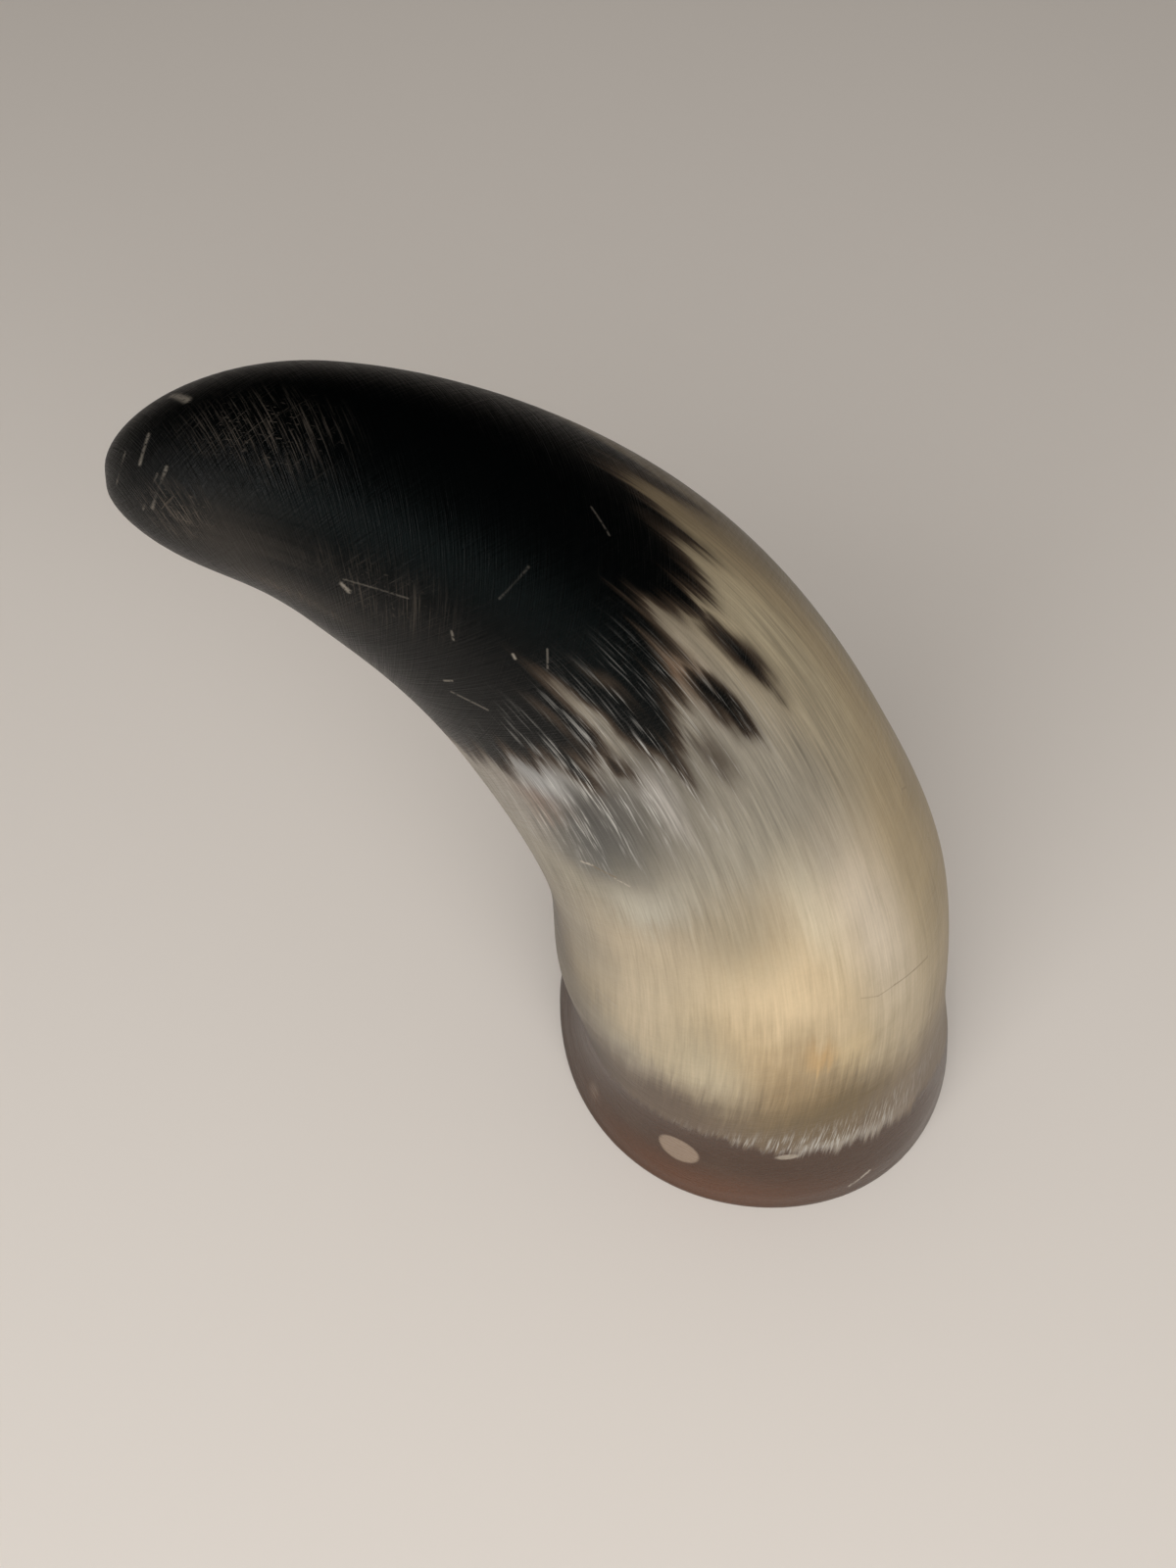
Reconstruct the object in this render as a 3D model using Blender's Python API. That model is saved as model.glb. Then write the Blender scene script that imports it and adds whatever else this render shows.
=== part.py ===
"""A buffalo horn, sawn off flat at the root so that it stands, with a hollow root and a blunt tip.

Metres, +Z up. The horn stands on the floor at z = 0 and curves over towards -X.
The origin is on the floor, under the middle of the horn's bounding box.
"""

import math

import bmesh
import bpy
import numpy as np
from mathutils import Matrix, Vector

# The horn's middle line: a Bezier curve from the middle of the root to the tip.
ROOT_CENTRE = Vector((0.0, 0.0, 0.0))
ROOT_HANDLE = Vector((0.0003, -0.0058, 0.0446))
TIP_HANDLE = Vector((-0.0187, 0.0111, 0.1701))
TIP_END = Vector((-0.0998, 0.0145, 0.1546))

# Half widths along that line, as (share of its length, share of the root's half width).
ROOT_WIDTH = 0.086
GIRTHS = ((0.0, 1.0), (0.15, 0.855), (0.30, 0.83), (0.47, 0.712), (0.64, 0.605), (0.82, 0.433), (1.0, 0.264))
BLUNT_FROM = 0.87  # share of the length where the tip starts to round off
BLUNT_POWER = 2.17  # higher is blunter
SAWN_OFF = 0.009  # length modelled below the floor, then sawn away; the next ring is as far above it

# The hollow that the horn's bone core left.
ROOT_WALL = 0.0045
HOLLOW_SHARE = 0.60  # share of the length that is hollow

# Where the horn is fuller (+) or leaner (-) than a round one: millimetres along the middle line, degrees
# around it (0 at the front, plus towards the outside of the bend), how far it reaches each way, and how high
# in millimetres.
SWELLINGS = (
    {"along": 50, "around": -86, "long": 15, "wide": 32, "high": 2.2},
    {"along": 2, "around": -112, "long": 13, "wide": 17, "high": 1.5},
    {"along": 86, "around": -85, "long": 16, "wide": 30, "high": -0.6},
    {"along": 6, "around": 45, "long": 25, "wide": 35, "high": 0.9},
    {"along": 4, "around": -5, "long": 12, "wide": 30, "high": -0.6},
    {"along": 100, "around": 100, "long": 30, "wide": 35, "high": 0.3},
    {"along": 130, "around": -55, "long": 30, "wide": 30, "high": 0.3},
    {"along": 165, "around": -50, "long": 16, "wide": 35, "high": 0.45},
    {"along": 187, "around": -50, "long": 9, "wide": 35, "high": -1.1},
    {"along": 203, "around": -10, "long": 9, "wide": 40, "high": 0.7},
    {"along": 202, "around": 80, "long": 9, "wide": 35, "high": 0.4},
)
MILLIMETRE = 0.001

SIDES = 48
LINE_STEPS = 400
FOOT_ROWS = 2  # extra rows of faces between the saw cut and the first ring above it
BODY_RINGS = 30
BLUNT_RINGS = 10
HOLLOW_RINGS = 18

HORN_COLOUR = (0.43, 0.34, 0.22, 1.0)
HORN_ROUGHNESS = 0.4


def clear_scene():
    for obj in list(bpy.data.objects):
        bpy.data.objects.remove(obj)


def point_on_line(t):
    s = 1.0 - t
    return ROOT_CENTRE * s**3 + ROOT_HANDLE * (3 * s * s * t) + TIP_HANDLE * (3 * s * t * t) + TIP_END * t**3


def heading_on_line(t):
    s = 1.0 - t
    first = (ROOT_HANDLE - ROOT_CENTRE) * (s * s)
    middle = (TIP_HANDLE - ROOT_HANDLE) * (2 * s * t)
    last = (TIP_END - TIP_HANDLE) * (t * t)
    return (first + middle + last).normalized()


def measure_line():
    """Curve parameters from root to tip, and the length of the line up to each."""
    parameters = np.linspace(0.0, 1.0, LINE_STEPS + 1)
    points = np.array([point_on_line(t) for t in parameters])
    steps = np.linalg.norm(np.diff(points, axis=0), axis=1)
    return parameters, np.concatenate(([0.0], np.cumsum(steps)))


def girth(share):
    """Share of the root's half width here, on a cubic through GIRTHS that never overshoots."""
    shares, sizes = np.array(GIRTHS).T
    gaps = np.diff(shares)
    slopes = np.diff(sizes) / gaps
    if share < 0.0:
        return 1.0 + slopes[0] * share
    before = 2 * gaps[1:] + gaps[:-1]
    after = gaps[1:] + 2 * gaps[:-1]
    inner = (before + after) / (before / slopes[:-1] + after / slopes[1:])
    start = ((2 * gaps[0] + gaps[1]) * slopes[0] - gaps[0] * slopes[1]) / (gaps[0] + gaps[1])
    end = ((2 * gaps[-1] + gaps[-2]) * slopes[-1] - gaps[-1] * slopes[-2]) / (gaps[-1] + gaps[-2])
    tangents = np.concatenate(([start], inner, [end]))
    i = min(int(np.searchsorted(shares, share, side="right")) - 1, len(gaps) - 1)
    x = (share - shares[i]) / gaps[i]
    rise = sizes[i + 1] - sizes[i]
    here, there = tangents[i] * gaps[i], tangents[i + 1] * gaps[i]
    return sizes[i] + here * x + (3 * rise - 2 * here - there) * x**2 + (here + there - 2 * rise) * x**3


def outer_radius(share):
    blunting = max(share - BLUNT_FROM, 0.0) / (1.0 - BLUNT_FROM)
    return ROOT_WIDTH / 2 * girth(share) * math.sqrt(max(1.0 - blunting**BLUNT_POWER, 0.0))


def hollow_radius(share):
    depth = max(share, 0.0) / HOLLOW_SHARE
    return (outer_radius(share) - ROOT_WALL) * math.sqrt(max(1.0 - depth * depth, 0.0))


def rounding_shares(start, end, rings):
    """Shares that crowd towards end, where a round nose closes; end itself is left out."""
    return [start + (end - start) * math.sin(math.pi / 2 * k / rings) for k in range(rings)]


def grow_tube(mesh, shares, radius_at, end_share):
    """Sweeps a ring along the line through these shares and draws it together at end_share.

    The layer "spot" keeps each point's degrees around and millimetres along.
    """
    parameters, lengths = measure_line()
    spot = mesh.verts.layers.float_vector["spot"]

    def station(share):
        if share < 0.0:
            heading = heading_on_line(0.0)
            return ROOT_CENTRE + heading * (share * lengths[-1]), heading
        t = float(np.interp(share * lengths[-1], lengths, parameters))
        return point_on_line(t), heading_on_line(t)

    centre, heading = station(shares[0])
    radius = radius_at(shares[0])
    upright = Vector((0.0, 0.0, 1.0)).rotation_difference(heading).to_matrix().to_4x4()
    place = Matrix.Translation(centre) @ upright
    ring = bmesh.ops.create_circle(mesh, segments=SIDES, radius=radius, matrix=place)["verts"]
    edges = list({edge for vert in ring for edge in vert.link_edges})
    for vert in ring:
        level = place.inverted() @ vert.co
        around = math.degrees(math.atan2(level.x, -level.y))
        vert[spot] = (around, shares[0] * lengths[-1] / MILLIMETRE, 0.0)
    for share in shares[1:]:
        next_centre, next_heading = station(share)
        next_radius = radius_at(share)
        grown = bmesh.ops.extrude_edge_only(mesh, edges=edges)["geom"]
        ring = [item for item in grown if isinstance(item, bmesh.types.BMVert)]
        edges = [item for item in grown if isinstance(item, bmesh.types.BMEdge)]
        turn = heading.rotation_difference(next_heading).to_matrix().to_4x4()
        resize = Matrix.Scale(next_radius / radius, 4)
        move = Matrix.Translation(next_centre) @ turn @ resize @ Matrix.Translation(-centre)
        bmesh.ops.transform(mesh, matrix=move, verts=ring)
        for vert in ring:
            vert[spot] = (vert[spot][0], share * lengths[-1] / MILLIMETRE, 0.0)
        centre, heading, radius = next_centre, next_heading, next_radius
    end_centre, _ = station(end_share)
    bmesh.ops.pointmerge(mesh, verts=ring, merge_co=end_centre)


def saw_flat(mesh, parts):
    """Saws these parts off at the floor and returns the cut edges."""
    cut = bmesh.ops.bisect_plane(
        mesh, geom=parts, plane_co=(0.0, 0.0, 0.0), plane_no=(0.0, 0.0, 1.0), clear_inner=True
    )["geom_cut"]
    rim = [item for item in cut if isinstance(item, bmesh.types.BMEdge)]
    for vert in {vert for edge in rim for vert in edge.verts}:
        vert.co.z = 0.0
    return rim


def add_foot_rows(mesh, rim):
    """Splits the long row of faces that stands on the saw cut."""
    rim_verts = {vert for edge in rim for vert in edge.verts}
    upright = [edge for vert in rim_verts for edge in vert.link_edges if edge not in rim]
    bmesh.ops.subdivide_edges(mesh, edges=upright, cuts=FOOT_ROWS, use_grid_fill=True)


def swell_skin(mesh):
    """Pushes the outer skin, the only one there yet, out or in along its normals."""
    spot = mesh.verts.layers.float_vector["spot"]
    bmesh.ops.recalc_face_normals(mesh, faces=mesh.faces)
    mesh.normal_update()
    for vert in mesh.verts:
        around, along, _ = vert[spot]
        high = 0.0
        for swelling in SWELLINGS:
            far = (along - swelling["along"]) / swelling["long"]
            aside = ((around - swelling["around"] + 180.0) % 360.0 - 180.0) / swelling["wide"]
            high += swelling["high"] * math.exp(-far * far - aside * aside)
        on_floor = vert.is_boundary
        vert.co += vert.normal * high * MILLIMETRE
        if on_floor:
            vert.co.z = 0.0


def centre_on_origin(mesh):
    """Moves the horn so that the origin is under the middle of its box."""
    low_x, high_x = min(v.co.x for v in mesh.verts), max(v.co.x for v in mesh.verts)
    low_y, high_y = min(v.co.y for v in mesh.verts), max(v.co.y for v in mesh.verts)
    bmesh.ops.translate(mesh, vec=(-(low_x + high_x) / 2, -(low_y + high_y) / 2, 0.0), verts=mesh.verts)


def horn_mesh():
    mesh = bmesh.new()
    spot = mesh.verts.layers.float_vector.new("spot")
    _, lengths = measure_line()
    sawn = SAWN_OFF / lengths[-1]
    body = [sawn + (BLUNT_FROM - sawn) * k / BODY_RINGS for k in range(BODY_RINGS)]
    tip = rounding_shares(BLUNT_FROM, 1.0, BLUNT_RINGS)
    hollow = rounding_shares(sawn, HOLLOW_SHARE, HOLLOW_RINGS)
    grow_tube(mesh, [-sawn] + body + tip, outer_radius, 1.0)
    outer_rim = saw_flat(mesh, mesh.verts[:] + mesh.edges[:] + mesh.faces[:])
    add_foot_rows(mesh, outer_rim)
    swell_skin(mesh)
    skin = set(mesh.verts[:] + mesh.edges[:] + mesh.faces[:])
    grow_tube(mesh, [-sawn] + hollow, hollow_radius, HOLLOW_SHARE)
    hollow_parts = [item for item in mesh.verts[:] + mesh.edges[:] + mesh.faces[:] if item not in skin]
    inner_rim = saw_flat(mesh, hollow_parts)
    # the flat rim between the two cuts
    bmesh.ops.triangle_fill(mesh, edges=outer_rim + inner_rim, use_beauty=True, normal=(0.0, 0.0, -1.0))
    centre_on_origin(mesh)
    bmesh.ops.recalc_face_normals(mesh, faces=mesh.faces)
    data = bpy.data.meshes.new("horn")
    mesh.verts.layers.float_vector.remove(spot)
    mesh.to_mesh(data)
    mesh.free()
    data.shade_smooth()
    data.set_sharp_from_angle(angle=math.radians(40))
    return data


def horn_material():
    material = bpy.data.materials.new("horn_keratin")
    material.use_nodes = True
    shader = material.node_tree.nodes["Principled BSDF"]
    shader.inputs["Base Color"].default_value = HORN_COLOUR
    shader.inputs["Roughness"].default_value = HORN_ROUGHNESS
    shader.inputs["Metallic"].default_value = 0.0
    return material


def main():
    clear_scene()
    collection = bpy.data.collections.new("buffalo_horn")
    bpy.context.scene.collection.children.link(collection)
    data = horn_mesh()
    data.materials.append(horn_material())
    horn = bpy.data.objects.new("horn", data)
    collection.objects.link(horn)


main()
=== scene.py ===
import bisect
import math

import bmesh
import bpy
from mathutils import Matrix, Vector


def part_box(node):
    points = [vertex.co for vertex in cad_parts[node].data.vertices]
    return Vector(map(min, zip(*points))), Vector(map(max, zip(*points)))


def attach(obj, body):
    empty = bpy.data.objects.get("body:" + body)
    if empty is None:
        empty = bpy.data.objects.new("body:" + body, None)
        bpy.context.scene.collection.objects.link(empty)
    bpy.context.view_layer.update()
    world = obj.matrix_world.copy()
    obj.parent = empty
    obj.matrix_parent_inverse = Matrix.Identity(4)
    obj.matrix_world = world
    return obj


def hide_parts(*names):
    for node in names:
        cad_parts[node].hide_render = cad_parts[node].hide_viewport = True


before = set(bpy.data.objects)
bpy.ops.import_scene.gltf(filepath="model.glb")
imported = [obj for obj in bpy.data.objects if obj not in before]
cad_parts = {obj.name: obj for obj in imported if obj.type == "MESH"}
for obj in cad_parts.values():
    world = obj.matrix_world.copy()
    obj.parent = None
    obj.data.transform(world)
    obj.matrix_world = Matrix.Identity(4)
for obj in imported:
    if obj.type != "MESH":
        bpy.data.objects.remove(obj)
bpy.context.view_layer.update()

# A polished buffalo horn standing on its sawn root.
# Places on the horn are given as (along, around): along is in mm from the root, on the horn's middle line,
# and around is in degrees, 0 at the front, plus towards the outside of the bend, minus towards the inside.

mm = 0.001

hornLine = {
    "rootCentre": Vector((0, 0, 0)),
    "rootHandle": Vector((0.3, -5.8, 44.6)) * mm,
    "tipHandle": Vector((-18.7, 11.1, 170.1)) * mm,
    "tipEnd": Vector((-99.8, 14.5, 154.6)) * mm,
    "rootRadius": 43 * mm,
    # share of the length, share of the root's radius
    "girths": [(0, 1), (0.15, 0.855), (0.3, 0.83), (0.47, 0.712), (0.64, 0.605), (0.82, 0.433), (1, 0.264)],
    "bluntFrom": 0.87,
    "bluntPower": 2.17,
}

hornMesh = {
    "sides": 192,
    "bodyRings": 210,
    "bluntRings": 36,
    "hollowRings": 40,
    "sawnOff": 9 * mm,
    "rootWall": 4.5 * mm,
    "hollowShare": 0.6,
    "rimRound": 0.6 * mm,
    "rimSteps": 4,
    "rimLift": 20 * mm,
    "footRings": 3,
    "lineSteps": 600,
}

# where the horn is fuller (+) or leaner (-) than a round one: along, around, and how far it reaches each way
swellings = [
    {"along": 50, "around": -86, "long": 15, "wide": 32, "high": 2.2},
    {"along": 2, "around": -112, "long": 13, "wide": 17, "high": 1.5},
    {"along": 86, "around": -85, "long": 16, "wide": 30, "high": -0.6},
    {"along": 6, "around": 45, "long": 25, "wide": 35, "high": 0.9},
    {"along": 4, "around": -5, "long": 12, "wide": 30, "high": -0.6},
    {"along": 100, "around": 100, "long": 30, "wide": 35, "high": 0.3},
    {"along": 130, "around": -55, "long": 30, "wide": 30, "high": 0.3},
    {"along": 165, "around": -50, "long": 16, "wide": 35, "high": 0.45},
    {"along": 187, "around": -50, "long": 9, "wide": 35, "high": -1.1},
    {"along": 203, "around": -10, "long": 9, "wide": 40, "high": 0.7},
    {"along": 202, "around": 80, "long": 9, "wide": 35, "high": 0.4},
]


def pointOnLine(t):
    a, b = hornLine["rootCentre"], hornLine["rootHandle"]
    c, d = hornLine["tipHandle"], hornLine["tipEnd"]
    s = 1 - t
    return a * s**3 + b * (3 * s * s * t) + c * (3 * s * t * t) + d * t**3


def headingOnLine(t):
    a, b = hornLine["rootCentre"], hornLine["rootHandle"]
    c, d = hornLine["tipHandle"], hornLine["tipEnd"]
    s = 1 - t
    return ((b - a) * (s * s) + (c - b) * (2 * s * t) + (d - c) * (t * t)).normalized()


def measureLine():
    steps = hornMesh["lineSteps"]
    points = [pointOnLine(k / steps) for k in range(steps + 1)]
    lengths = [0]
    for here, there in zip(points, points[1:]):
        lengths.append(lengths[-1] + (there - here).length)
    return lengths


lineLengths = measureLine()
hornLength = lineLengths[-1]


def stationAt(share):
    # centre and heading; below the root the line runs on straight
    if share < 0:
        return headingOnLine(0) * (share * hornLength), headingOnLine(0)
    wanted = min(share, 1) * hornLength
    step = min(bisect.bisect_right(lineLengths, wanted), len(lineLengths) - 1) - 1
    within = (wanted - lineLengths[step]) / (lineLengths[step + 1] - lineLengths[step])
    t = (step + min(within, 1)) / hornMesh["lineSteps"]
    return pointOnLine(t), headingOnLine(t)


def girthAt(share):
    # a cubic through the girths that never overshoots
    shares = [g[0] for g in hornLine["girths"]]
    sizes = [g[1] for g in hornLine["girths"]]
    gaps = [b - a for a, b in zip(shares, shares[1:])]
    slopes = [(b - a) / gap for a, b, gap in zip(sizes, sizes[1:], gaps)]
    if share < 0:
        return 1 + slopes[0] * share
    tangents = [((2 * gaps[0] + gaps[1]) * slopes[0] - gaps[0] * slopes[1]) / (gaps[0] + gaps[1])]
    for k in range(1, len(gaps)):
        before, after = 2 * gaps[k] + gaps[k - 1], gaps[k] + 2 * gaps[k - 1]
        tangents.append((before + after) / (before / slopes[k - 1] + after / slopes[k]))
    tangents.append(((2 * gaps[-1] + gaps[-2]) * slopes[-1] - gaps[-1] * slopes[-2]) / (gaps[-1] + gaps[-2]))
    k = max(n for n in range(len(gaps)) if shares[n] <= share)
    x = (share - shares[k]) / gaps[k]
    rise = sizes[k + 1] - sizes[k]
    here, there = tangents[k] * gaps[k], tangents[k + 1] * gaps[k]
    return sizes[k] + here * x + (3 * rise - 2 * here - there) * x**2 + (here + there - 2 * rise) * x**3


def outerRadius(share):
    blunting = max(share - hornLine["bluntFrom"], 0) / (1 - hornLine["bluntFrom"])
    rounding = math.sqrt(max(1 - blunting ** hornLine["bluntPower"], 0))
    return hornLine["rootRadius"] * girthAt(share) * rounding


def hollowRadius(share):
    depth = max(share, 0) / hornMesh["hollowShare"]
    return (outerRadius(share) - hornMesh["rootWall"]) * math.sqrt(max(1 - depth * depth, 0))


def roundingShares(start, end, rings):
    return [start + (end - start) * math.sin(math.pi / 2 * k / rings) for k in range(rings)]


def growTube(mesh, shares, radiusAt, endShare):
    # sweeps a ring up the line; the "grain" layer keeps (cos, sin of around, along in mm) on every point
    grain = mesh.verts.layers.float_vector["grain"]
    centre, heading = stationAt(shares[0])
    radius = radiusAt(shares[0])
    turn = Vector((0, 0, 1)).rotation_difference(heading).to_matrix().to_4x4()
    place = Matrix.Translation(centre) @ turn
    ring = bmesh.ops.create_circle(mesh, segments=hornMesh["sides"], radius=radius, matrix=place)["verts"]
    edges = list({edge for vert in ring for edge in vert.link_edges})

    def markGrain(share):
        level = place.inverted()
        for vert in ring:
            spot = level @ vert.co
            # the ring's own -Y looks to the front
            vert[grain] = Vector((-spot.y, spot.x, 0)).normalized()
            vert[grain] += Vector((0, 0, share * hornLength / mm))

    markGrain(shares[0])
    for share in shares[1:]:
        nextCentre, nextHeading = stationAt(share)
        grown = bmesh.ops.extrude_edge_only(mesh, edges=edges)["geom"]
        ring = [item for item in grown if isinstance(item, bmesh.types.BMVert)]
        edges = [item for item in grown if isinstance(item, bmesh.types.BMEdge)]
        turn = heading.rotation_difference(nextHeading).to_matrix().to_4x4()
        resize = Matrix.Scale(radiusAt(share) / radius, 4)
        back = Matrix.Translation(-centre)
        bmesh.ops.transform(mesh, matrix=Matrix.Translation(nextCentre) @ turn @ resize @ back, verts=ring)
        place = Matrix.Translation(nextCentre) @ turn @ back @ place
        centre, heading, radius = nextCentre, nextHeading, radiusAt(share)
        markGrain(share)
    endCentre, _ = stationAt(endShare)
    bmesh.ops.pointmerge(mesh, verts=ring, merge_co=endCentre)


def sawFlat(mesh, parts):
    cut = bmesh.ops.bisect_plane(
        mesh, geom=parts, plane_co=(0, 0, 0), plane_no=(0, 0, 1), clear_inner=True
    )["geom_cut"]
    edges = [item for item in cut if isinstance(item, bmesh.types.BMEdge)]
    for vert in {vert for edge in edges for vert in edge.verts}:
        vert.co.z = 0
    return edges


def addFootRings(mesh, rim):
    # the stretch above the saw cut is one long row of faces until now
    rimVerts = {vert for edge in rim for vert in edge.verts}
    upright = [edge for vert in rimVerts for edge in vert.link_edges if edge not in rim]
    bmesh.ops.subdivide_edges(mesh, edges=upright, cuts=hornMesh["footRings"], use_grid_fill=True)


def swellSkin(mesh):
    # only the outer skin is there yet
    grain = mesh.verts.layers.float_vector["grain"]
    bmesh.ops.recalc_face_normals(mesh, faces=mesh.faces)
    mesh.normal_update()
    for vert in mesh.verts:
        cosine, sine, along = vert[grain]
        around = math.degrees(math.atan2(sine, cosine))
        high = 0
        for swelling in swellings:
            far = (along - swelling["along"]) / swelling["long"]
            aside = (around - swelling["around"] + 180) % 360 - 180
            high += swelling["high"] * math.exp(-far * far - (aside / swelling["wide"]) ** 2)
        vert.co += vert.normal * high * mm
        if vert.is_boundary:
            vert.co.z = 0


def roundRim(mesh, rim, inward):
    # lifts a sawn rim and grows it back to the floor in a quarter circle
    size, steps = hornMesh["rimRound"], hornMesh["rimSteps"]
    for vert in {vert for edge in rim for vert in edge.verts}:
        vert.co.z = size
    for k in range(steps):
        before, after = math.radians(90 * k / steps), math.radians(90 * (k + 1) / steps)
        grown = bmesh.ops.extrude_edge_only(mesh, edges=rim)["geom"]
        rim = [item for item in grown if isinstance(item, bmesh.types.BMEdge)]
        for vert in (item for item in grown if isinstance(item, bmesh.types.BMVert)):
            aside = Vector((vert.co.x, vert.co.y, 0)).normalized() * inward
            vert.co += aside * size * (math.cos(after) - math.cos(before))
            vert.co.z -= size * (math.sin(after) - math.sin(before))
    return rim


def joinRims(mesh, outerRim, innerRim):
    # the inner rim is held up meanwhile: flat rings one inside the other would be joined inside out
    lift = Vector((0, 0, hornMesh["rimLift"]))
    innerVerts = list({vert for edge in innerRim for vert in edge.verts})
    bmesh.ops.translate(mesh, vec=lift, verts=innerVerts)
    sawnFaces = bmesh.ops.bridge_loops(mesh, edges=outerRim + innerRim)["faces"]
    bmesh.ops.translate(mesh, vec=-lift, verts=innerVerts)
    print("sawn ring:", round(sum(face.calc_area() for face in sawnFaces) / mm**2), "mm2")
    return sawnFaces


def makeHorn():
    mesh = bmesh.new()
    mesh.verts.layers.float_vector.new("grain")
    sawn = hornMesh["sawnOff"] / hornLength
    rings = hornMesh["bodyRings"]
    body = [sawn + (hornLine["bluntFrom"] - sawn) * k / rings for k in range(rings)]
    tip = roundingShares(hornLine["bluntFrom"], 1, hornMesh["bluntRings"])
    growTube(mesh, [-sawn] + body + tip, outerRadius, 1)
    outerRim = sawFlat(mesh, mesh.verts[:] + mesh.edges[:] + mesh.faces[:])
    addFootRings(mesh, outerRim)
    swellSkin(mesh)
    skinVerts, skinEdges, skinFaces = set(mesh.verts), set(mesh.edges), set(mesh.faces)
    growTube(mesh, [-sawn] + roundingShares(sawn, hornMesh["hollowShare"], hornMesh["hollowRings"]),
             hollowRadius, hornMesh["hollowShare"])
    hollow = [vert for vert in mesh.verts if vert not in skinVerts]
    hollow += [edge for edge in mesh.edges if edge not in skinEdges]
    hollow += [face for face in mesh.faces if face not in skinFaces]
    innerRim = sawFlat(mesh, hollow)
    for face in mesh.faces:
        face.material_index = 0 if face in skinFaces else 1
    outerRim = roundRim(mesh, outerRim, 1)
    innerRim = roundRim(mesh, innerRim, -1)
    for face in joinRims(mesh, outerRim, innerRim):
        face.material_index = 2
    bmesh.ops.recalc_face_normals(mesh, faces=mesh.faces)
    volume = mesh.calc_volume() / (10 * mm) ** 3
    print("horn mesh:", len(mesh.faces), "faces, volume cm3", round(volume, 1))
    low = [min(vert.co[axis] for vert in mesh.verts) for axis in range(3)]
    high = [max(vert.co[axis] for vert in mesh.verts) for axis in range(3)]
    boxLow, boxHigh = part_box("horn")
    shift = [(boxLow[axis] + boxHigh[axis] - low[axis] - high[axis]) / 2 for axis in range(2)]
    bmesh.ops.translate(mesh, vec=(shift[0], shift[1], 0), verts=mesh.verts)
    data = bpy.data.meshes.new("polishedHorn")
    mesh.to_mesh(data)
    mesh.free()
    data.shade_smooth()
    horn = bpy.data.objects.new("polishedHorn", data)
    bpy.context.scene.collection.objects.link(horn)
    rootSpot = Vector((shift[0], shift[1], 0))
    return horn, rootSpot


horn, rootSpot = makeHorn()
print("root centre", rootSpot)

look = {
    "elevation": 58.54,
    "distance": 306 * mm,
    "aside": 36.76 * mm,   # the root is right of the view's middle
    "below": 52.54 * mm,   # and below it
    "lens": 31.5,
    "sensorWidth": 36,
    "clipStart": 10 * mm,
}


def makeCamera():
    tilt = math.radians(look["elevation"])
    ahead = Vector((0, math.cos(tilt), -math.sin(tilt)))
    right = Vector((1, 0, 0))
    up = right.cross(ahead)
    camera = bpy.data.cameras.new("camera")
    camera.lens = look["lens"]
    camera.sensor_width = look["sensorWidth"]
    camera.sensor_fit = "AUTO"
    camera.clip_start = look["clipStart"]
    eye = bpy.data.objects.new("camera", camera)
    eye.location = rootSpot - ahead * look["distance"] - right * look["aside"] + up * look["below"]
    eye.rotation_euler = (math.pi / 2 - tilt, 0, 0)
    bpy.context.scene.collection.objects.link(eye)
    bpy.context.scene.camera = eye


makeCamera()

floorLook = {
    "halfSize": 6,
    "colour": (0.80, 0.738, 0.678, 1),
    "roughness": 0.9,
    "specular": 0.1,
}


def makeFloor():
    mesh = bmesh.new()
    bmesh.ops.create_grid(mesh, x_segments=1, y_segments=1, size=floorLook["halfSize"])
    data = bpy.data.meshes.new("floor")
    mesh.to_mesh(data)
    mesh.free()
    sheet = bpy.data.objects.new("floor", data)
    bpy.context.scene.collection.objects.link(sheet)
    paint = bpy.data.materials.new("floorPaint")
    paint.use_nodes = True
    shader = paint.node_tree.nodes["Principled BSDF"]
    shader.inputs["Base Color"].default_value = floorLook["colour"]
    shader.inputs["Roughness"].default_value = floorLook["roughness"]
    shader.inputs["Specular IOR Level"].default_value = floorLook["specular"]
    data.materials.append(paint)
    return sheet


floor = makeFloor()

lampAim = 80 * mm   # the height the lamps look at
lamps = {
    "key": {"around": -9, "height": 38, "away": 0.8, "size": (1.2, 0.55), "power": 7.6,
            "colour": (1, 1, 1), "seenInGloss": False},
    "frontSheen": {"around": -8, "height": 36, "away": 1.0, "size": (1.2, 0.4), "power": 0.95,
                   "colour": (0.7, 1, 1), "seenInGloss": True},
    "sideSheen": {"around": -64, "height": 30, "away": 1.0, "size": (0.35, 0.35), "power": 1.5,
                  "colour": (1, 0.98, 0.95), "seenInGloss": True},
}


def makeLamp(name, facts):
    lamp = bpy.data.lights.new(name, "AREA")
    lamp.shape = "RECTANGLE"
    lamp.size, lamp.size_y = facts["size"]
    lamp.energy = facts["power"]
    lamp.color = facts["colour"]
    holder = bpy.data.objects.new(name, lamp)
    side, height = math.radians(facts["around"]), math.radians(facts["height"])
    level = math.cos(height)
    towards = Vector((math.sin(side) * level, -math.cos(side) * level, math.sin(height)))
    holder.location = rootSpot + Vector((0, 0, lampAim)) + towards * facts["away"]
    holder.rotation_euler = towards.to_track_quat("Z", "Y").to_euler()
    holder.visible_glossy = facts["seenInGloss"]
    holder.visible_diffuse = not facts["seenInGloss"]
    bpy.context.scene.collection.objects.link(holder)


for lampName, lampFacts in lamps.items():
    makeLamp(lampName, lampFacts)

room = {
    "colour": (1, 0.965, 0.915, 1),
    "strength": 0.25,
}


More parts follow.
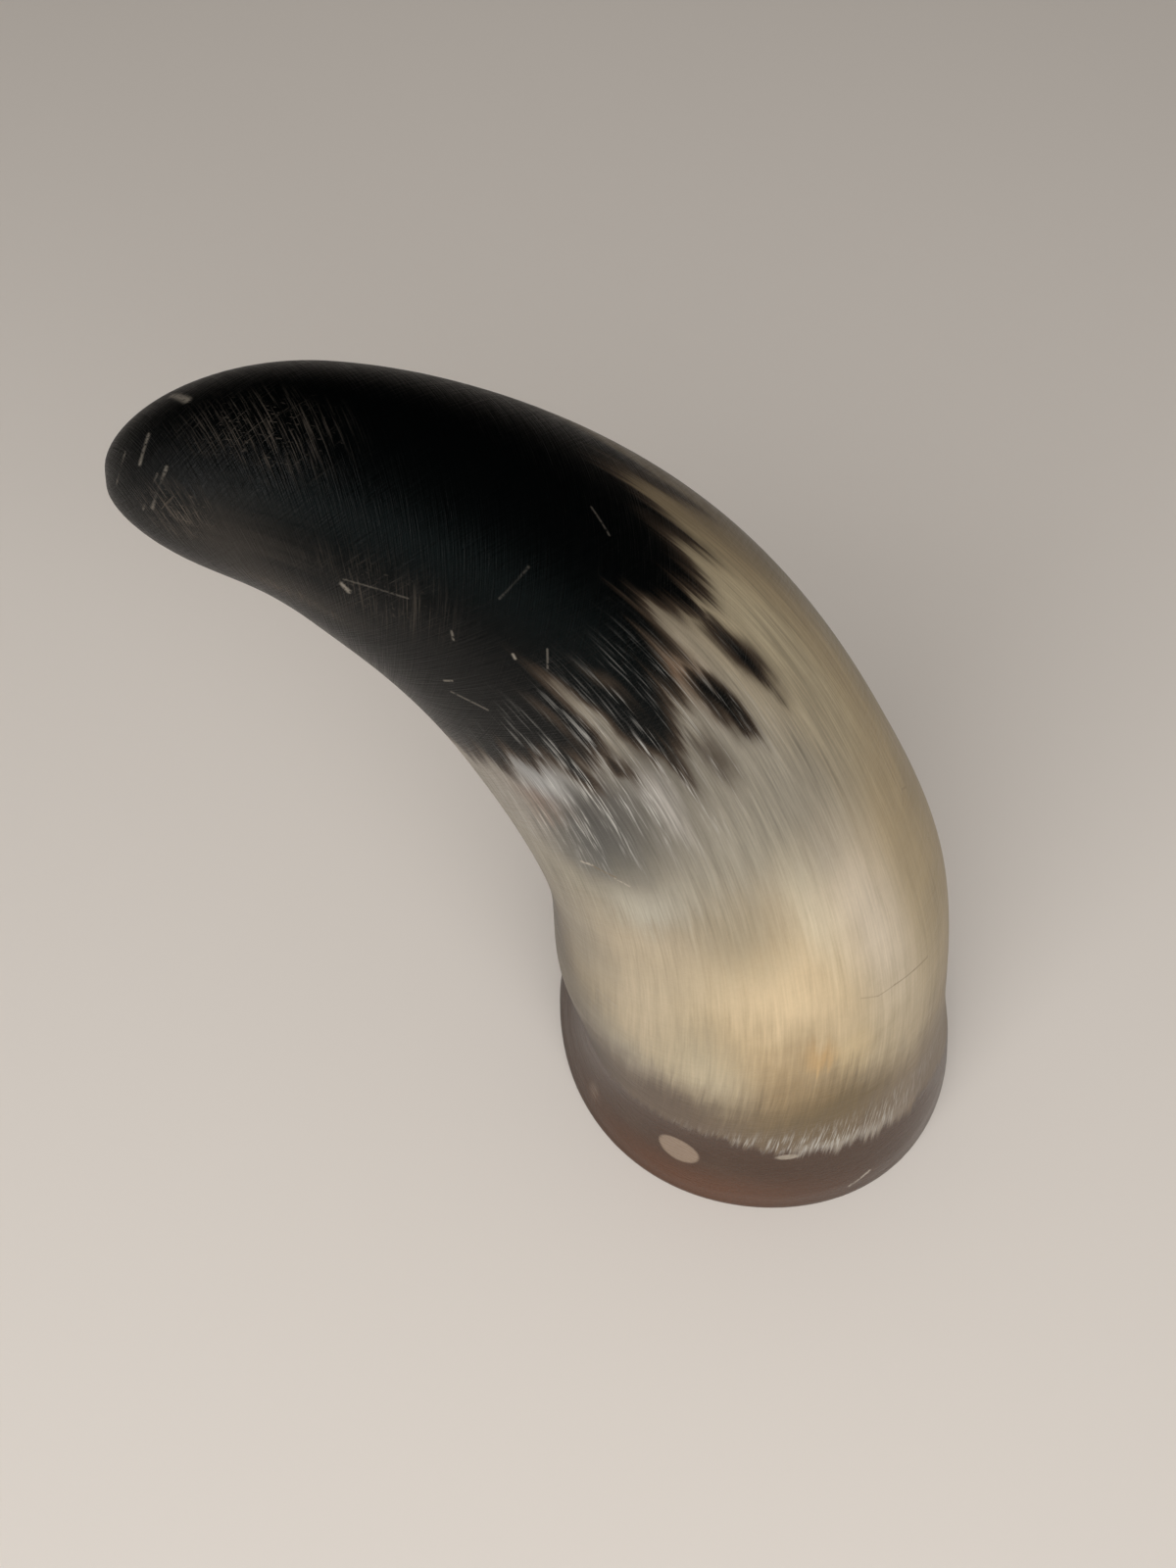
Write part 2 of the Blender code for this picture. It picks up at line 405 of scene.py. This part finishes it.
def makeRoom():
    # even light from all round, which shows in no gloss
    world = bpy.data.worlds.new("room")
    bpy.context.scene.world = world
    world.use_nodes = True
    background = world.node_tree.nodes["Background"]
    background.inputs["Color"].default_value = room["colour"]
    background.inputs["Strength"].default_value = room["strength"]
    world.cycles_visibility.glossy = False


makeRoom()
bpy.context.scene.view_settings.view_transform = "Standard"
print("camera, floor,", len(lamps), "lamps and room")


class Wire:
    # the output of a node, which can stand in a sum
    tree = None

    def __init__(self, socket):
        self.socket = socket

    @classmethod
    def node(cls, kind, settings=None, values=None, give=0):
        made = cls.tree.nodes.new(kind)
        for name, setting in (settings or {}).items():
            if name == "stops":
                setStops(made.color_ramp, setting)
            else:
                setattr(made, name, setting)
        for name, value in (values or {}).items():
            if isinstance(value, Wire):
                cls.tree.links.new(value.socket, made.inputs[name])
            else:
                made.inputs[name].default_value = value
        return cls(made.outputs[give])

    def math(self, operation, other, first=False):
        a, b = (self, other) if first else (other, self)
        return Wire.node("ShaderNodeMath", {"operation": operation}, {0: a, 1: b})

    def __add__(self, other):
        return self.math("ADD", other, True)

    def __radd__(self, other):
        return self.math("ADD", other)

    def __sub__(self, other):
        return self.math("SUBTRACT", other, True)

    def __rsub__(self, other):
        return self.math("SUBTRACT", other)

    def __mul__(self, other):
        return self.math("MULTIPLY", other, True)

    def __truediv__(self, other):
        return self.math("DIVIDE", other, True)


def setStops(ramp, stops):
    while len(ramp.elements) < len(stops):
        ramp.elements.new(1)
    for element, (place, colour) in zip(ramp.elements, stops):
        element.position = place
        element.color = colour


def tone(red, green, blue):
    # a colour as it is named on screen, 0 to 255, made linear
    def straight(value):
        value /= 255
        return value / 12.92 if value <= 0.04045 else ((value + 0.055) / 1.055) ** 2.4
    return straight(red), straight(green), straight(blue), 1


def larger(a, b):
    return a.math("MAXIMUM", b, True)


def ease(value, low, high):
    # 0 below low, 1 above high, a soft step between
    return Wire.node("ShaderNodeMapRange", {"interpolation_type": "SMOOTHSTEP"},
                     {"Value": value, "From Min": low, "From Max": high})


def blend(factor, under, over):
    return Wire.node("ShaderNodeMix", {"data_type": "RGBA"}, {0: factor, 6: under, 7: over}, give=2)


def vectorMath(operation, *vectors, give=0, scale=None):
    values = dict(enumerate(vectors))
    if scale is not None:
        values["Scale"] = scale
    return Wire.node("ShaderNodeVectorMath", {"operation": operation}, values, give)


strokeRadius = 30   # mm, a middling radius of the horn
rampTop = 255   # mm, the height that a ramp's white stands for


class Grain:
    # where a point is on the horn: spot holds (cos, sin of around, along in mm)
    def __init__(self):
        self.spot = Wire.node("ShaderNodeAttribute", {"attribute_name": "grain"}, give="Vector")
        cosine, sine, self.along = (
            Wire.node("ShaderNodeSeparateXYZ", values={0: self.spot}, give=axis) for axis in "XYZ"
        )
        self.around = sine.math("ARCTAN2", cosine, True) * math.degrees(1)

    def strokes(self, wide, long, slope=0.3, detail=0, seed=0):
        # noise drawn out along the grain, which winds about the horn by slope degrees a mm
        turned = Wire.node("ShaderNodeVectorRotate", {"rotation_type": "Z_AXIS"},
                           {"Vector": self.spot, "Angle": self.along * -math.radians(slope)})
        across = strokeRadius / wide
        drawn = vectorMath("MULTIPLY_ADD", turned, (across, across, 1 / long), (seed, seed, seed))
        return Wire.node("ShaderNodeTexNoise", None, {"Vector": drawn, "Scale": 1, "Detail": detail})

    def heightAround(self, heights):
        # a height in mm for every direction, from a few (around, along) pairs
        stops = [((around + 180) / 360, (along / rampTop,) * 3 + (1,)) for around, along in heights]
        ramp = Wire.node("ShaderNodeValToRGB", {"stops": stops}, {0: self.around / 360 + 0.5})
        return ramp * rampTop


def fade(far, near, edge, much):
    # much up to near, nothing past edge
    return Wire.node("ShaderNodeMapRange", {"interpolation_type": "SMOOTHSTEP"},
                     {"Value": far, "From Min": near, "From Max": edge, "To Min": much, "To Max": 0})


def patch(spot, facts):
    # strongest in the middle of a place, nothing past its reach
    turn = math.radians(facts["around"])
    across = math.degrees(1) / facts["wide"]
    upward = 1 / facts["long"]
    middle = (math.cos(turn) * across, math.sin(turn) * across, facts["along"] * upward)
    away = vectorMath("MULTIPLY_ADD", spot, (across, across, upward), tuple(-part for part in middle))
    far = vectorMath("LENGTH", away, give=1)
    return fade(far, 1 - facts.get("soft", 1), 1, facts["much"])


def scratch(spot, facts):
    # a straight scratch between two places
    (along, around), (endAlong, endAround) = facts["start"], facts["end"]
    radius = outerRadius(along * mm / hornLength) / mm
    turn, endTurn = math.radians(around), math.radians(endAround)
    start = Vector((math.cos(turn) * radius, math.sin(turn) * radius, along))
    run = Vector((math.cos(endTurn) * radius, math.sin(endTurn) * radius, endAlong)) - start
    away = vectorMath("MULTIPLY_ADD", spot, (radius, radius, 1), tuple(-start))
    share = vectorMath("DOT_PRODUCT", away, tuple(run / run.length_squared), give=1)
    share = Wire.node("ShaderNodeClamp", None, {0: share})
    nearest = vectorMath("SCALE", tuple(run), scale=share)
    far = vectorMath("DISTANCE", away, nearest, give=1)
    return fade(far, 0, facts["wide"], facts["pale"])


skin = {
    # colours along the horn, between the brown band at the root and the black tip: (along, colour)
    "bodyLength": 210,
    "body": [(30, (112, 95, 76)), (48, (134, 118, 94)), (62, (160, 144, 114)), (80, (178, 161, 131)),
             (98, (170, 155, 131)), (112, (146, 138, 120)), (128, (134, 127, 114)), (160, (120, 110, 95))],
    "band": (60, 35, 15),
    "bandGlow": (90, 50, 22),
    "bandMist": (86, 66, 50),
    "fibrePale": (192, 188, 180),
    # bandEdge: a painted reflection of the floor along the foot of the brown band
    "bandEdge": (88, 80, 62),
    "streakBrown": (58, 47, 37),
    "black": (2, 3, 3),
    "scratchPale": (168, 158, 144),
    "worn": (118, 106, 94),
    # grey of worn black, which also stands in as a painted sheen on the tip
    "greyAndSheen": (48, 43, 38),
    "crack": (112, 94, 70),
    # how high the brown band reaches, and where the black begins: (around, along)
    "bandTop": [(-180, 24), (-120, 25), (-80, 28), (-45, 31), (-15, 33), (5, 27), (22, 25), (40, 22),
                (60, 20), (75, 13), (110, 10), (180, 24)],
    "blackStart": [(-180, 160), (-120, 152), (-60, 149), (-40, 146), (-30, 142.5), (-15, 141), (2, 137),
                   (20, 134), (30, 133), (40, 139), (50, 143), (60, 141), (70, 141), (80, 146), (90, 153),
                   (104, 151), (116, 160), (180, 160)],
    "roughness": 0.38,
    "specular": 0.25,
    "bumpDepth": 0.12 * mm,
}

# tinted places: along, around, how far they reach each way (mm, degrees), colour and strength
tints = [
    {"along": 42, "around": -38, "long": 26, "wide": 64, "colour": (84, 68, 54), "much": 0.9},
    {"along": 34, "around": -66, "long": 20, "wide": 26, "colour": (62, 50, 40), "much": 0.75},
    {"along": 60, "around": -48, "long": 20, "wide": 36, "colour": (160, 151, 134), "much": 0.65},
    {"along": 84, "around": -78, "long": 75, "wide": 48, "colour": (74, 65, 54), "much": 0.95},
    {"along": 82, "around": -30, "long": 28, "wide": 30, "colour": (178, 163, 139), "much": 0.6},
    {"along": 98, "around": -48, "long": 34, "wide": 24, "colour": (136, 128, 113), "much": 0.7},
    {"along": 44, "around": 18, "long": 26, "wide": 44, "colour": (98, 80, 47), "much": 0.9},
    {"along": 63, "around": 5, "long": 26, "wide": 38, "colour": (152, 128, 92), "much": 0.75},
    {"along": 63, "around": 18, "long": 6, "wide": 8, "colour": (172, 130, 66), "much": 0.75},
    {"along": 82, "around": 18, "long": 32, "wide": 36, "colour": (200, 178, 143), "much": 0.85},
    {"along": 61, "around": -14, "long": 22, "wide": 20, "colour": (184, 172, 146), "much": 0.65},
    {"along": 60, "around": 28, "long": 10, "wide": 10, "colour": (206, 182, 138), "much": 0.6},
    {"along": 98, "around": 8, "long": 15, "wide": 24, "colour": (142, 130, 106), "much": 0.7},
    {"along": 98, "around": 31, "long": 22, "wide": 11, "colour": (206, 194, 168), "much": 0.6},
    {"along": 109, "around": -11, "long": 9, "wide": 20, "colour": (178, 172, 156), "much": 0.75},
    {"along": 60, "around": 50, "long": 24, "wide": 36, "colour": (192, 175, 145), "much": 0.7},
    {"along": 86, "around": 47, "long": 36, "wide": 20, "colour": (206, 192, 172), "much": 0.85},
    {"along": 105, "around": 82, "long": 120, "wide": 44, "colour": (164, 144, 109), "much": 0.95},
    {"along": 114, "around": 46, "long": 22, "wide": 30, "colour": (134, 126, 112), "much": 0.6},
    {"along": 116, "around": 10, "long": 28, "wide": 70, "colour": (134, 127, 114), "much": 0.6},
    {"along": 124, "around": -14, "long": 15, "wide": 28, "colour": (80, 79, 74), "much": 0.95},
    {"along": 131, "around": -4, "long": 22, "wide": 44, "colour": (78, 75, 71), "much": 0.85},
    {"along": 127, "around": 12, "long": 9, "wide": 7, "colour": (158, 152, 144), "much": 0.7},
    {"along": 134, "around": -24, "long": 8, "wide": 14, "colour": (118, 88, 72), "much": 0.5},
    {"along": 140, "around": -16, "long": 12, "wide": 16, "colour": (150, 149, 146), "much": 0.85},
    {"along": 138, "around": -38, "long": 24, "wide": 20, "colour": (138, 131, 122), "much": 0.7},
    {"along": 141, "around": 43, "long": 14, "wide": 10, "colour": (98, 72, 52), "much": 0.8},
    {"along": 130, "around": 72, "long": 40, "wide": 20, "colour": (162, 151, 127), "much": 0.7},
    {"along": 152, "around": 102, "long": 40, "wide": 30, "colour": (100, 84, 62), "much": 0.8},
    {"along": 70, "around": 150, "long": 100, "wide": 80, "colour": (150, 136, 108), "much": 0.7},
    {"along": 110, "around": -130, "long": 90, "wide": 70, "colour": (132, 122, 105), "much": 0.7},
]

# dark streaks that run ahead of the black, and pale ones that run into it
darkStreaks = [
    {"along": 140, "around": -1, "long": 14, "wide": 6, "much": 1.0},
    {"along": 136.5, "around": 10, "long": 6, "wide": 3.5, "much": 0.8},
    {"along": 144, "around": 10, "long": 9, "wide": 4, "much": 0.9},
    {"along": 136, "around": 22.5, "long": 17, "wide": 6, "much": 1.0},
    {"along": 128, "around": 33, "long": 10, "wide": 8, "much": 0.45},
    {"along": 132.5, "around": 45.5, "long": 11, "wide": 7, "much": 1.0},
    {"along": 134, "around": 61, "long": 13, "wide": 6, "much": 1.0},
    {"along": 149, "around": 81, "long": 13, "wide": 6, "much": 0.85},
    {"along": 149, "around": 100, "long": 12, "wide": 7, "much": 0.7},
    {"along": 153, "around": -150, "long": 16, "wide": 9, "much": 0.9},
    {"along": 157, "around": 150, "long": 14, "wide": 8, "much": 0.9},
]
paleStreaks = [
    {"along": 146, "around": 6, "long": 9, "wide": 3, "much": 0.45},
    {"along": 141, "around": 15, "long": 17, "wide": 5.5, "much": 1.0},
    {"along": 144, "around": 26, "long": 10, "wide": 3.5, "much": 0.4},
    {"along": 136, "around": -18, "long": 9, "wide": 9, "much": 0.75},
    {"along": 142, "around": 53, "long": 10, "wide": 6, "much": 0.75},
]

# pale flecks in the brown band, with sharp edges
flecks = [
    {"along": 20.5, "around": -28, "long": 4.9, "wide": 7.2, "soft": 0.18, "much": 0.95,
     "colour": (140, 120, 102)},
    {"along": 25.8, "around": 5, "long": 1.3, "wide": 4.5, "soft": 0.5, "much": 0.8,
     "colour": (160, 148, 132)},
    {"along": 12, "around": -62, "long": 5, "wide": 4, "soft": 0.9, "much": 0.3,
     "colour": (140, 120, 102)},
]

# pale scratches and nicks: from (along, around) to (along, around), half width in mm, and strength
scratches = [
    {"start": (7.2, 24.5), "end": (9.8, 30.5), "wide": 0.7, "pale": 0.9},
    {"start": (75.5, -47), "end": (74.4, -39), "wide": 0.35, "pale": 0.6},
    {"start": (119.2, -24.5), "end": (118.6, -21.5), "wide": 0.5, "pale": 0.9},
    {"start": (115.4, -16.5), "end": (113.4, -13.5), "wide": 0.3, "pale": 0.7},
    {"start": (152, -9), "end": (157, -14), "wide": 0.3, "pale": 0.2},
    {"start": (158.2, -9), "end": (158.9, -11.5), "wide": 0.3, "pale": 0.3},
    {"start": (161.6, 7), "end": (162.4, 9.5), "wide": 0.28, "pale": 0.25},
    {"start": (154.7, 14.5), "end": (155.2, 15.2), "wide": 0.3, "pale": 0.45},
    {"start": (175, 3.5), "end": (176, 5.5), "wide": 0.5, "pale": 0.4},
    {"start": (176, 8), "end": (168.5, 12.5), "wide": 0.2, "pale": 0.12},
    {"start": (151, 18), "end": (152.6, 23.5), "wide": 0.22, "pale": 0.2},
    {"start": (153, 66), "end": (155.6, 72), "wide": 0.22, "pale": 0.12},
    {"start": (160, 29), "end": (159, 43), "wide": 0.25, "pale": 0.08},
    {"start": (197.5, 42), "end": (200, 15), "wide": 0.4, "pale": 0.28},
    {"start": (198.8, 38), "end": (201.5, 12), "wide": 0.25, "pale": 0.18},
    {"start": (203.5, 57), "end": (205.5, 30), "wide": 0.3, "pale": 0.22},
    {"start": (200, 65), "end": (201.2, 45), "wide": 0.4, "pale": 0.32},
    {"start": (196, 84), "end": (198.2, 95), "wide": 0.8, "pale": 0.45},
]

# thin brownish cracks, in the same terms
cracks = [
    {"start": (65.5, 59), "end": (67.5, 52), "wide": 0.3, "pale": 0.6},
    {"start": (67.5, 52), "end": (69.5, 44), "wide": 0.28, "pale": 0.6},
    {"start": (69.5, 44), "end": (70.5, 38), "wide": 0.25, "pale": 0.45},
    {"start": (70.5, 38), "end": (73, 33), "wide": 0.22, "pale": 0.35},
    {"start": (118.4, -21.5), "end": (115.6, -16), "wide": 0.3, "pale": 0.7},
    {"start": (92.5, 76), "end": (93.5, 80), "wide": 0.3, "pale": 0.35},
    {"start": (93.5, 80), "end": (92, 83), "wide": 0.3, "pale": 0.35},
]

# rubbed places on the black, where it is full of fine scratches
wornPlaces = [
    {"along": 197, "around": 16, "long": 8, "wide": 26, "much": 1.0},
    {"along": 188, "around": 62, "long": 12, "wide": 32, "much": 0.5},
    {"along": 181, "around": -13, "long": 11, "wide": 6, "much": 1.0},
    {"along": 172, "around": 9, "long": 14, "wide": 22, "much": 0.35},
    {"along": 200, "around": -140, "long": 10, "wide": 60, "much": 0.5},
]

# places where the black is painted grey: partly wear, partly a painted sheen on the tip
greyAndSheenPlaces = [
    {"along": 190, "around": 6, "long": 14, "wide": 34, "much": 0.65},
    {"along": 182, "around": -12, "long": 16, "wide": 14, "much": 0.6},
]

# single soft places of the brown band and of the fibres
bandGlow = {"along": 9, "around": -20, "long": 12, "wide": 60, "much": 0.75}
bandMist = {"along": 12, "around": 82, "long": 26, "wide": 40, "much": 0.5}
frayedPlace = {"along": 28, "around": 12, "long": 12, "wide": 72, "much": 0.8}
edgingPlace = {"along": 27, "around": 14, "long": 14, "wide": 44, "much": 0.45}
scrapedPlace = {"along": 133, "around": 2, "long": 23, "wide": 74, "much": 0.7}

# the noises: how wide and long their strokes are (mm), and how they wind
noises = {
    "fine": {"wide": 0.35, "long": 9, "detail": 2},
    "medium": {"wide": 1.3, "long": 26, "detail": 2, "seed": 7},
    "broad": {"wide": 3.5, "long": 50, "detail": 1, "seed": 3},
    "cloud": {"wide": 14, "long": 14, "detail": 3, "seed": 11},
    "leaning": {"wide": 0.75, "long": 2.4, "slope": 7, "detail": 3, "seed": 31},
    "crossing": {"wide": 0.7, "long": 2.6, "slope": -5, "detail": 3, "seed": 37},
    "crumbs": {"wide": 0.55, "long": 0.7, "detail": 2, "seed": 17},
    "fibres": {"wide": 0.3, "long": 5, "detail": 2, "seed": 23},
}

# where something begins to show, and where it shows in full
ranges = {
    "blackEdge": (-6, 6),   # mm past where the black begins
    "bandEdge": (-2, 2.5),   # mm above the brown band
    "edging": (2, 8),
    # where the painted reflection along the foot of the band fades out
    "paintedFootReflection": (0.5, 2),   # mm from the root
    "greyer": (85, 120),
    "brown": (0, 0.6),   # share of the black
    "black": (0.35, 1),
    "leaning": (0.5, 0.68),   # heights of the noises
    "crossing": (0.6, 0.72),
    "wornCrumbs": (0.6, 0.75),
    "wornClouds": (0.72, 1.08),
    "bandClouds": (0.5, 0.8),
    "edgingClouds": (0.4, 0.6),
    "fibres": (0.47, 0.72),
    "scraped": (0.42, 0.62),
    "crumbled": (0.3, 0.5),
}

strengths = {
    "crossing": 0.7,   # beside the leaning marks
    "wornCrumbs": 0.8,
    "wornPale": 0.55,
    "bandMist": 0.2,
    # how strong the painted reflection along the foot of the band is
    "paintedFootReflection": 0.6,
    "fibresLow": 0.28,   # how the fibres show in the yellow stretch
    "fibresHigh": 0.45,   # and how much more where it is greyer
    "fineFibres": 1.3,   # beside the medium ones
    "fibreHeight": 0.25,
    "sandedPale": 0.2,   # sanding marks outside the black
    "wornHeight": 0.5,
    "bandSmooth": 0.9,
    "wornRoughness": 0.25,
    "bandRoughness": 0.1,
}

# how strongly each noise pushes something off
sways = {
    "fray": {"fine": 5, "medium": 9, "cloud": 14},
    "blackEdge": {"broad": 14, "medium": 8, "fine": 6},
    "bandEdge": {"medium": 7, "fine": 5},
    "across": {"broad": 0.12},
    "aside": {"cloud": 0.16},
    "brightness": {"cloud": 0.4, "crumbs": 0.1},
    "roughness": {"leaning": 0.35, "crossing": 0.25},
}


def sway(fields, name):
    return sum((fields[noiseName] - 0.5) * much for noiseName, much in sways[name].items())


def skinFields():
    # the noises and the frayed position that colour, roughness and bump share
    grain = Grain()
    fields = {name: grain.strokes(**facts) for name, facts in noises.items()}
    fields["grain"] = grain
    fields["fray"] = sway(fields, "fray")
    shift = Wire.node("ShaderNodeCombineXYZ", None,
                      {0: sway(fields, "across"), 1: sway(fields, "aside"), 2: fields["fray"]})
    fields["spot"] = vectorMath("ADD", grain.spot, shift)
    fields["dark"] = blackMask(fields)
    bandTop = grain.heightAround(skin["bandTop"])
    fields["aboveBand"] = grain.along - bandTop + sway(fields, "bandEdge")
    fields["band"] = 1 - ease(fields["aboveBand"], *ranges["bandEdge"])
    fields["worn"] = wornMask(fields)
    return fields


def blackMask(fields):
    grain = fields["grain"]
    past = grain.along - grain.heightAround(skin["blackStart"]) + sway(fields, "blackEdge")
    dark = ease(past, *ranges["blackEdge"])
    for streak in darkStreaks:
        dark = larger(dark, patch(fields["spot"], streak))
    for streak in paleStreaks:
        dark = dark * (1 - patch(fields["spot"], streak))
    return dark


def wornMask(fields):
    worn = patch(fields["grain"].spot, wornPlaces[0])
    for place in wornPlaces[1:]:
        worn = larger(patch(fields["grain"].spot, place), worn)
    leaning = ease(fields["leaning"], *ranges["leaning"])
    crossing = ease(fields["crossing"], *ranges["crossing"]) * strengths["crossing"]
    crumbs = ease(fields["crumbs"], *ranges["wornCrumbs"]) * strengths["wornCrumbs"]
    clouds = ease(fields["cloud"] + fields["broad"], *ranges["wornClouds"])
    return worn * larger(larger(leaning, crossing), crumbs) * clouds


def bodyColour(fields):
    grain = fields["grain"]
    stops = [(along / skin["bodyLength"], tone(*colour)) for along, colour in skin["body"]]
    place = (grain.along + fields["fray"]) / skin["bodyLength"]
    colour = Wire.node("ShaderNodeValToRGB", {"stops": stops}, {0: place})
    for tint in tints:
        colour = blend(patch(fields["spot"], tint), colour, tone(*tint["colour"]))
    # the fibres show more where the horn turns grey
    fibres = ease(grain.along, *ranges["greyer"]) * strengths["fibresHigh"] + strengths["fibresLow"]
    fine = (fields["fine"] - 0.5) * fibres * strengths["fineFibres"]
    brightness = fine + (fields["medium"] - 0.5) * fibres
    return vectorMath("SCALE", colour, scale=brightness + sway(fields, "brightness") + 1)


def bandColour(fields):
    grain = fields["grain"]
    misty = ease(fields["cloud"], *ranges["bandClouds"]) * strengths["bandMist"]
    colour = blend(misty, tone(*skin["band"]), tone(*skin["bandMist"]))
    colour = blend(patch(grain.spot, bandGlow), colour, tone(*skin["bandGlow"]))
    colour = blend(patch(fields["spot"], bandMist), colour, tone(*skin["bandMist"]))
    # a painted reflection of the floor: a thin pale line along the foot of the band
    reflectionAtFoot = (1 - ease(grain.along, *ranges["paintedFootReflection"])) * strengths["paintedFootReflection"]
    colour = blend(reflectionAtFoot, colour, tone(*skin["bandEdge"]))
    for fleck in flecks:
        colour = blend(patch(grain.spot, fleck), colour, tone(*fleck["colour"]))
    return colour


def skinColour(fields):
    spot, dark = fields["grain"].spot, fields["dark"]
    colour = bodyColour(fields)
    for crack in cracks:
        colour = blend(scratch(spot, crack), colour, tone(*skin["crack"]))
    # frayed fibres and a pale edging above the brown band
    fibres = ease(fields["fibres"], *ranges["fibres"])
    colour = blend(fibres * patch(spot, frayedPlace), colour, tone(*skin["fibrePale"]))
    clouds = ease(fields["cloud"], *ranges["edgingClouds"])
    edging = (1 - ease(fields["aboveBand"], *ranges["edging"])) * clouds
    colour = blend(edging * patch(spot, edgingPlace), colour, tone(*skin["fibrePale"]))
    colour = blend(fields["band"], colour, bandColour(fields))
    # the black, by way of brown
    colour = blend(ease(dark, *ranges["brown"]), colour, tone(*skin["streakBrown"]))
    colour = blend(ease(dark, *ranges["black"]), colour, tone(*skin["black"]))
    # grey on the black near the tip: partly wear, partly painted sheen
    for place in greyAndSheenPlaces:
        colour = blend(patch(fields["spot"], place), colour, tone(*skin["greyAndSheen"]))
    scraped = patch(fields["spot"], scrapedPlace) * ease(fields["medium"], *ranges["scraped"])
    colour = blend(fibres * scraped, colour, tone(*skin["fibrePale"]))
    colour = blend(fields["worn"] * strengths["wornPale"], colour, tone(*skin["worn"]))
    crumbled = ease(fields["crumbs"], *ranges["crumbled"])
    for mark in scratches:
        colour = blend(scratch(spot, mark) * crumbled, colour, tone(*skin["scratchPale"]))
    return colour


def skinBump(fields):
    # fibres on the pale horn, sanding marks across the black
    dark = fields["dark"]
    sandedPale = strengths["sandedPale"]
    sanded = fields["leaning"] + fields["crossing"] * strengths["crossing"]
    sanded = sanded * (dark * (1 - sandedPale) + sandedPale)
    height = fields["fine"] * (1 - dark) * strengths["fibreHeight"] + sanded
    height = height + fields["worn"] * strengths["wornHeight"]
    height = height * (1 - fields["band"] * strengths["bandSmooth"])
    return bump(height, skin["bumpDepth"])


def bump(height, depth):
    return Wire.node("ShaderNodeBump", None, {"Height": height, "Strength": 1, "Distance": depth},
                     give="Normal")


def newMaterial(name):
    material = bpy.data.materials.new(name)
    material.use_nodes = True
    Wire.tree = material.node_tree
    shader = material.node_tree.nodes["Principled BSDF"]
    shader.inputs["Specular IOR Level"].default_value = skin["specular"]
    return material, shader


def connect(shader, wires):
    for name, wire in wires.items():
        Wire.tree.links.new(wire.socket, shader.inputs[name])


def makeSkin():
    material, shader = newMaterial("polishedHorn")
    fields = skinFields()
    roughness = sway(fields, "roughness") + skin["roughness"]
    roughness = roughness + fields["worn"] * strengths["wornRoughness"]
    roughness = roughness - fields["band"] * strengths["bandRoughness"]
    connect(shader, {
        "Base Color": skinColour(fields),
        "Roughness": roughness,
        "Normal": skinBump(fields),
    })
    print("skin nodes:", len(material.node_tree.nodes))
    return material


inside = {
    # the hollow is painted darker inwards as painted shade; the sawn face shows growth rings and saw marks
    "wallPale": (136, 118, 92),
    "wallDark": (74, 58, 42),
    "deepShade": (40, 31, 24),
    "wallRoughness": 0.7,
    "ringPale": (132, 114, 88),
    "ringDark": (78, 60, 44),
    "sawnRoughness": 0.6,
    "bumpDepth": 0.2 * mm,
    "ridges": {"wide": 1.6, "long": 40, "detail": 3, "seed": 5},
    "ringsPerMetre": 1400,
    "sawMarks": (120, 2600, 0),   # how fine they are along x, y and z, a metre
    "sawShade": 0.5,
    "stripes": (0.35, 0.65),   # noise heights of all dark and all pale
    "shadeDeepens": (10, 110),   # mm from the root
}


def makeInside(name, roughness, paint):
    material, shader = newMaterial(name)
    colour, height = paint()
    connect(shader, {"Base Color": colour, "Normal": bump(height, inside["bumpDepth"])})
    shader.inputs["Roughness"].default_value = roughness
    return material


def paintWall():
    # ridges run the length of the hollow
    grain = Grain()
    ridges = grain.strokes(**inside["ridges"])
    striped = ease(ridges, *inside["stripes"])
    colour = blend(striped, tone(*inside["wallDark"]), tone(*inside["wallPale"]))
    # painted shade: the wall turns darker deeper into the hollow
    return blend(ease(grain.along, *inside["shadeDeepens"]), colour, tone(*inside["deepShade"])), ridges


def paintSawn():
    place = Wire.node("ShaderNodeTexCoord", give="Object")
    away = vectorMath("LENGTH", vectorMath("SUBTRACT", place, tuple(rootSpot)), give=1)
    rings = Wire.node("ShaderNodeTexNoise", None,
                      {"Vector": away, "Scale": inside["ringsPerMetre"], "Detail": 3})
    drawn = vectorMath("MULTIPLY", place, inside["sawMarks"])
    saw = Wire.node("ShaderNodeTexNoise", None, {"Vector": drawn, "Scale": 1, "Detail": 2})
    striped = ease(rings, *inside["stripes"])
    colour = blend(striped, tone(*inside["ringDark"]), tone(*inside["ringPale"]))
    return vectorMath("SCALE", colour, scale=(saw - 0.5) * inside["sawShade"] + 1), saw


horn.data.materials.append(makeSkin())
horn.data.materials.append(makeInside("hollowWall", inside["wallRoughness"], paintWall))
horn.data.materials.append(makeInside("sawnRim", inside["sawnRoughness"], paintSawn))
print("materials:", len(horn.data.materials))

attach(horn, "root")
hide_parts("horn")
